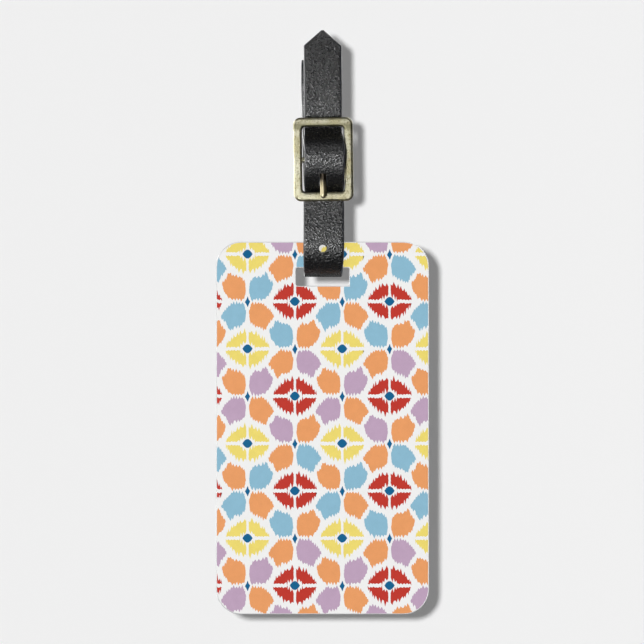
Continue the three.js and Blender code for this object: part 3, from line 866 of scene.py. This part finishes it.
def ragged(outline, draw, depth, calm_level=None):
    """An outline with the torn look of threads dyed before weaving.

    It gets upright teeth, the longest on its level edges. An edge that runs along calm_level gets short ones.
    """
    area = sum(a[0] * b[1] - b[0] * a[1] for a, b in zip(outline, outline[1:] + outline[:1]))
    if area < 0:
        outline = outline[::-1]
    points = []
    for (x0, y0), (x1, y1) in zip(outline, outline[1:] + outline[:1]):
        length = math.dist((x0, y0), (x1, y1))
        level = (abs(x1 - x0) / length) ** 0.5
        outwards = -1 if x1 > x0 else 1
        steps = max(1, round(length / TOOTH))
        if calm_level is not None and abs(y0 - calm_level) + abs(y1 - calm_level) < 0.1:
            level *= CALM
        for i in range(steps):
            t = i / steps
            out = draw.uniform(0.3, 1) if i % 2 else -draw.uniform(0, 0.5)
            points.append((
                x0 + (x1 - x0) * t + draw.uniform(-JITTER, JITTER),
                y0 + (y1 - y0) * t + outwards * out * depth * level + draw.uniform(-JITTER, JITTER),
            ))
    return points


# A lozenge of the ground between the eyes, in half periods from the small diamond, for its upper right:
# a base beside the diamond, an upright inner side, a peak and a spike that points at the next eye.
UPPER_LOZENGE = [
    (0.07, 0.05), (0.035, 0.22), (0.05, 0.4), (0.13, 0.5), (0.27, 0.53), (0.41, 0.6),
    (0.45, 0.47), (0.54, 0.38), (0.51, 0.24), (0.43, 0.12), (0.35, 0.05),
]
LOWER_LOZENGE = [
    (0.08, 0.05), (0.03, 0.22), (0.05, 0.41), (0.14, 0.5), (0.26, 0.53), (0.38, 0.61),
    (0.45, 0.45), (0.56, 0.33), (0.5, 0.22), (0.42, 0.13), (0.32, 0.045),
]


def lozenge(x, y, side_x, side_y, draw):
    """The lozenge on one side of the diamond at (x, y)."""
    shape = UPPER_LOZENGE if side_y > 0 else LOWER_LOZENGE
    outline = [(x + side_x * u * HALF, y + side_y * v * HALF) for u, v in shape]
    return ragged(outline, draw, LOZENGE_TEETH)


def petal(x, y, side_x, side_y, draw):
    """A quarter of an eye: a lens cut by a cross-shaped gap and a ring round the pupil."""
    gap_x, gap_y, reach_x, reach_y = 0.28, 0.46, 5.25, 4.1
    ring = [(gap_x, 1.75), (1.0, 1.45), (1.6, 0.95), (2.0, gap_y)]
    rim = [(reach_x, gap_y), (4.3, 1.8), (3.05, 3.0), (1.4, 3.9), (gap_x, reach_y)]
    outline = [(x + side_x * u, y + side_y * v) for u, v in ring + rim]
    return ragged(outline, draw, PETAL_TEETH, y + side_y * gap_y)


def pupil(x, y):
    """The dark middle of an eye."""
    half_width, half_height = 1.22, 1.05
    quarter = ((1, 0), (0.84, 0.3), (0.6, 0.66), (0.2, 1))
    right = [(u, -v) for u, v in reversed(quarter[1:])] + list(quarter)
    return [(x + half_width * u, y + half_height * v) for u, v in right + [(-u, -v) for u, v in right]]


def diamond(x, y):
    """The small dark diamond between four lozenges, drawn a little unevenly by hand."""
    half_width, half_height, drop = 0.63, 1.3, 0.1
    right = [(0.1, -1), (0.5, -0.45), (1, 0.05), (0.45, 0.45)]
    left = [(0.08, 1), (-0.4, 0.45), (-1, -0.05), (-0.4, -0.5)]
    return [(x + half_width * u, y - drop + half_height * v) for u, v in right + left]


def pattern(draw):
    """The pattern's shapes over the whole plate, as (ink, outline) pairs: eyes and diamonds, in turn."""
    shapes = []
    for row in range(-1, 9):
        for column in range(-4, 5):
            x = FIRST_EYE_COLUMN + (column - 1) * HALF
            y = PLATE_HEIGHT - FIRST_EYE_ROW - row * HALF
            if abs(x) > PLATE_WIDTH / 2 + HALF:
                continue
            if (row + column) % 2:
                ink = "yellow" if row % 2 == 0 else "red"
                shapes += [(ink, petal(x, y, *side, draw)) for side in SIDES]
                shapes.append(("navy", pupil(x, y)))
            else:
                shapes += [(ink_of(row, side), lozenge(x, y, *side, draw)) for side in SIDES]
                shapes.append(("navy", diamond(x, y)))
    return shapes


def ink_of(row, side):
    """A lozenge's colour: orange on one diagonal, and blue or lilac, by rows of eyes, on the other."""
    rising = side[0] * side[1] > 0
    if rising == (row % 2 == 0):
        return "orange"
    band = (row - 1) // 2 if side[1] > 0 and row % 2 == 0 else row // 2
    return "blue" if band % 2 == 0 else "lilac"


def split(work, centre, normal, clear=False):
    """Splits everything along the line through centre. With clear, what lies on normal's side is removed."""
    everything = work.verts[:] + work.edges[:] + work.faces[:]
    bmesh.ops.bisect_plane(
        work, geom=everything, dist=1e-5, plane_co=centre, plane_no=normal, clear_outer=clear
    )


def cut_window(work, x, y, width, height):
    """Removes what lies inside an upright rectangle."""
    for centre, normal in (
        ((x - width / 2, 0, 0), (1, 0, 0)),
        ((x + width / 2, 0, 0), (1, 0, 0)),
        ((0, y - height / 2, 0), (0, 1, 0)),
        ((0, y + height / 2, 0), (0, 1, 0)),
    ):
        split(work, centre, normal)
    inside = []
    for face in work.faces:
        middle = face.calc_center_median()
        if abs(middle.x - x) < width / 2 and abs(middle.y - y) < height / 2:
            inside.append(face)
    bmesh.ops.delete(work, geom=inside, context="FACES")


def plate_outline(inset, steps):
    """The plate's outer outline, drawn in by the inset."""
    width, height = PLATE_WIDTH - 2 * inset, PLATE_HEIGHT - 2 * inset
    return rounded_rectangle(0, PLATE_HEIGHT / 2, width, height, PLATE_CORNER - inset, steps)


def clip_to_plate(work, inset):
    """Removes what lies outside the plate."""
    outline = plate_outline(inset, 7)
    for (x0, y0), (x1, y1) in zip(outline, outline[1:] + outline[:1]):
        if math.dist((x0, y0), (x1, y1)) > 1e-6:
            split(work, (x0, y0, 0), (y1 - y0, x0 - x1, 0), clear=True)


def flat_shapes(name, shapes, materials, windows, depth, facing):
    """Flat inked shapes on the plate's front (facing -1) or back (facing 1), clipped to it, as one piece."""
    names = list(materials)
    work = bmesh.new()
    for ink, outline in shapes:
        corners = [work.verts.new((x, y, 0)) for x, y in outline]
        for triangle in tessellate_polygon([[Vector((x, y, 0)) for x, y in outline]]):
            face = work.faces.new([corners[i] for i in triangle])
            face.material_index = names.index(ink)
    clip_to_plate(work, PRINT_INSET)
    for window in windows:
        cut_window(work, *window)
    for face in work.faces:
        face.normal_update()
        if face.normal.z * -facing < 0:
            face.normal_flip()
    mesh = bpy.data.meshes.new(name)
    work.to_mesh(mesh)
    work.free()
    for material in materials.values():
        mesh.materials.append(material)
    return to_row_frame(stood_up(name, mesh, depth))


def plate_outlines(inset):
    """The plate's outer outline and its slot's."""
    slot = rounded_rectangle(0, SLOT_MIDDLE, SLOT_WIDTH + 2 * inset, SLOT_HEIGHT + 2 * inset, SLOT_CORNER, 5)
    return [plate_outline(inset, 16), slot]


INKS = {
    "orange": (0.815, 0.342, 0.134),
    "blue": (0.262, 0.488, 0.626),
    "lilac": (0.512, 0.36, 0.50),
    "yellow": (0.846, 0.695, 0.166),
    "red": (0.523, 0.044, 0.031),
    "navy": (0.0107, 0.123, 0.275),
}
FILM_WHITE = (0.87, 0.868, 0.862)
RULE_INK = (0.16, 0.2, 0.26)
SLOT_WINDOW = (0, SLOT_MIDDLE, SLOT_WIDTH + 2 * PRINT_INSET, SLOT_HEIGHT + 2 * PRINT_INSET)
BACK_PANEL = (0, 37, 38, 52)  # x, height, width and height of the plain panel to write on
RULES = 6
RULE_MARGIN = 3
RULE_HALF = 0.09
FRONT_SEED = 7
BACK_SEED = 11


def build_core():
    """The acrylic itself, between its two prints."""
    thickness = PLATE_THICKNESS - 2 * CORE_INSET
    body = slab("acrylic_plate", plate_outlines(0), thickness, 0, PLATE_EDGE_ROUND, acrylic())
    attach(to_row_frame(body), "plate")
    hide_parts("tag_core")


def build_print(name, facing, seed, windows, node, white, inks):
    """One face of the plate: a white film and the pattern's inks on it, left out inside the windows."""
    surface = facing * PLATE_THICKNESS / 2
    film_middle = surface - facing * (FILM_THICKNESS / 2 + INK_LIFT)
    outlines = plate_outlines(PRINT_INSET)
    film = slab(name + "_film", outlines, FILM_THICKNESS, film_middle, FILM_EDGE_ROUND, white, 1)
    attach(to_row_frame(film), "plate")
    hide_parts(node)
    ink = flat_shapes(name + "_ink", pattern(random.Random(seed)), inks, windows, surface, facing)
    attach(ink, "plate")


def build_rules(inks):
    """The lines to write on, across the back's plain panel."""
    x, y, width, height = BACK_PANEL
    left, right = x - width / 2 + RULE_MARGIN, x + width / 2 - RULE_MARGIN
    rules = []
    for i in range(RULES):
        level = y + height / 2 - (i + 1) * height / (RULES + 1)
        low, high = level - RULE_HALF, level + RULE_HALF
        rules.append(("rule", [(left, low), (right, low), (right, high), (left, high)]))
    ruled = flat_shapes("back_rules", rules, inks, [], PLATE_THICKNESS / 2, 1)
    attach(ruled, "plate")


def build_plate():
    """The acrylic, its two printed faces and the lines on its back."""
    build_core()
    white = printed("print_white", FILM_WHITE, 0.02)
    inks = {name: printed("ink_" + name, colour) for name, colour in INKS.items()}
    build_print("front", -1, FRONT_SEED, [SLOT_WINDOW], "front_print", white, inks)
    build_print("back", 1, BACK_SEED, [SLOT_WINDOW, BACK_PANEL], "back_print", white, inks)
    build_rules({"rule": printed("ink_rule", RULE_INK)})


# ---- the stage, the lights and the camera ----


def stage_sheet(name, corners, albedo, light):
    """A pale sheet that only the camera sees: it takes the object's shadow and lights nothing."""
    g = Graph(name)
    grain = g.noise(g.place(), 3.0, detail=2.0)
    tone = g.blend(grain, (albedo * 0.995,) * 3, (albedo * 1.005,) * 3)
    g.surface(Base_Color=tone, Roughness=1.0, Specular_IOR_Level=0.0)
    g.surface(Emission_Color=(1.0, 1.0, 1.0), Emission_Strength=light)
    sheet = object_from(name, corners, [(0, 1, 2, 3)], materials=[g.material])
    sheet.visible_diffuse = False
    sheet.visible_glossy = False
    sheet.visible_transmission = False
    sheet.visible_shadow = False


def build_stage():
    """A pale wall behind the tag and a pale floor below it."""
    back, low, wide = WALL_DEPTH * MM, place(0, 0, -FLOOR_DROP).z, STAGE_REACH
    high = low + 2 * wide
    wall = [(-wide, back, low), (wide, back, low), (wide, back, high), (-wide, back, high)]
    floor = [(-wide, -wide, low), (wide, -wide, low), (wide, back, low), (-wide, back, low)]
    stage_sheet("backdrop_wall", wall, BACKDROP, WALL_GLOW)
    stage_sheet("backdrop_floor", floor, FLOOR_ALBEDO, FLOOR_GLOW)


# Lamps round the buckle, as (name, offset from it in metres, (width, height), radiance).
FRONT_SOFTBOX = ("front_softbox", (-0.12, -0.95, 0.12), (0.6, 0.6), 1.32)
BACK_SOFTBOX = ("back_softbox", (0.35, 0.6, 0.3), (0.6, 0.6), 4.0)
BACK_FILL = ("back_fill", (-0.6, 0.5, 0.05), (0.4, 0.6), 2.6)
RIGHT_FILL = ("right_fill", (0.9, 0.14, 0.2), (0.6, 0.6), 0.4)
RIGHT_FILL_SPREAD = math.radians(50)
GLINTS = (
    ("low_glint", (-0.07, -0.33, -0.052), (0.062, 0.062), 36),
    ("left_wall", (-0.92, -0.2, 0.05), (0.9, 0.8), 3.2),
    ("high_glint", (-0.25, -0.75, 0.7), (0.7, 0.35), 1.6),
    ("rim_wall", (-0.6, 0.75, 0.05), (0.9, 1.0), 3.5),
)


def area_light(name, offset, size, radiance):
    """A rectangular lamp that shines at the buckle."""
    middle = place(0, -4, 100)
    data = bpy.data.lights.new(name, "AREA")
    data.shape = "RECTANGLE"
    data.size, data.size_y = size
    data.energy = radiance * size[0] * size[1] * math.pi
    lamp = bpy.data.objects.new(name, data)
    lamp.location = middle + Vector(offset)
    lamp.rotation_euler = (middle - lamp.location).to_track_quat("-Z", "Y").to_euler()
    lamp.visible_camera = False
    bpy.context.scene.collection.objects.link(lamp)
    return lamp


def build_sun():
    """The key light. It throws the tag's shadow on the wall and isn't seen in reflections."""
    data = bpy.data.lights.new("key_sun", "SUN")
    data.energy = SUN_STRENGTH * math.pi
    data.angle = SHADOW_BLUR / WALL_DEPTH
    sun = bpy.data.objects.new("key_sun", data)
    ray = Vector((SHADOW_OFFSET[0], WALL_DEPTH, -SHADOW_OFFSET[1]))
    sun.rotation_euler = ray.to_track_quat("-Z", "Y").to_euler()
    sun.visible_glossy = False
    bpy.context.scene.collection.objects.link(sun)


def build_lamps():
    """Soft fills, two of them kept out of reflections, and glints that are only seen in reflections."""
    area_light(*FRONT_SOFTBOX).visible_glossy = False
    area_light(*BACK_SOFTBOX)
    area_light(*BACK_FILL)
    side = area_light(*RIGHT_FILL)
    side.data.spread = RIGHT_FILL_SPREAD
    side.visible_glossy = False
    for glint in GLINTS:
        area_light(*glint).visible_diffuse = False


def build_world():
    """The world is bright for the camera, dim for dull surfaces and dimmer still in reflections."""
    world = bpy.data.worlds.new("studio")
    bpy.context.scene.world = world
    world.use_nodes = True
    tree = world.node_tree
    background = tree.nodes["Background"]
    background.inputs["Color"].default_value = (1, 1, 1, 1)
    path = tree.nodes.new("ShaderNodeLightPath")
    level = tree.nodes.new("ShaderNodeMapRange")
    level.inputs["To Min"].default_value = AMBIENT
    level.inputs["To Max"].default_value = BACKDROP
    tree.links.new(path.outputs["Is Camera Ray"], level.inputs["Value"])
    dimmed = tree.nodes.new("ShaderNodeMath")
    dimmed.operation = "MULTIPLY_ADD"
    dimmed.inputs[1].default_value = AMBIENT_IN_MIRRORS
    tree.links.new(path.outputs["Is Glossy Ray"], dimmed.inputs[0])
    tree.links.new(level.outputs["Result"], dimmed.inputs[2])
    tree.links.new(dimmed.outputs["Value"], background.inputs["Strength"])


def build_camera():
    """A camera straight in front, without perspective."""
    data = bpy.data.cameras.new("camera")
    data.type = "ORTHO"
    data.ortho_scale = VIEW_SIZE
    camera = bpy.data.objects.new("camera", data)
    camera.location = place(VIEW_MIDDLE[0], CAMERA_DEPTH, VIEW_MIDDLE[1])
    camera.rotation_euler = (math.radians(90), 0, 0)
    bpy.context.scene.collection.objects.link(camera)
    bpy.context.scene.camera = camera
    bpy.context.scene.view_settings.view_transform = "Standard"
    bpy.context.scene.view_settings.look = "None"


build_camera()
build_sun()
build_lamps()
build_world()
build_stage()
leathers = [leather_grain(), leather_edge(), leather_flesh()]
strap_length = build_strap(leathers)
build_free_end(leathers, strap_length)
brass = cast_brass()
build_frame(brass)
build_prong(bright_brass())
build_plate()
sewing = waxed_thread()
for name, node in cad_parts.items():
    if name == "centre_bar":
        node.material_slots[0].material = brass
    if name.startswith("stitch_"):
        node.material_slots[0].material = sewing
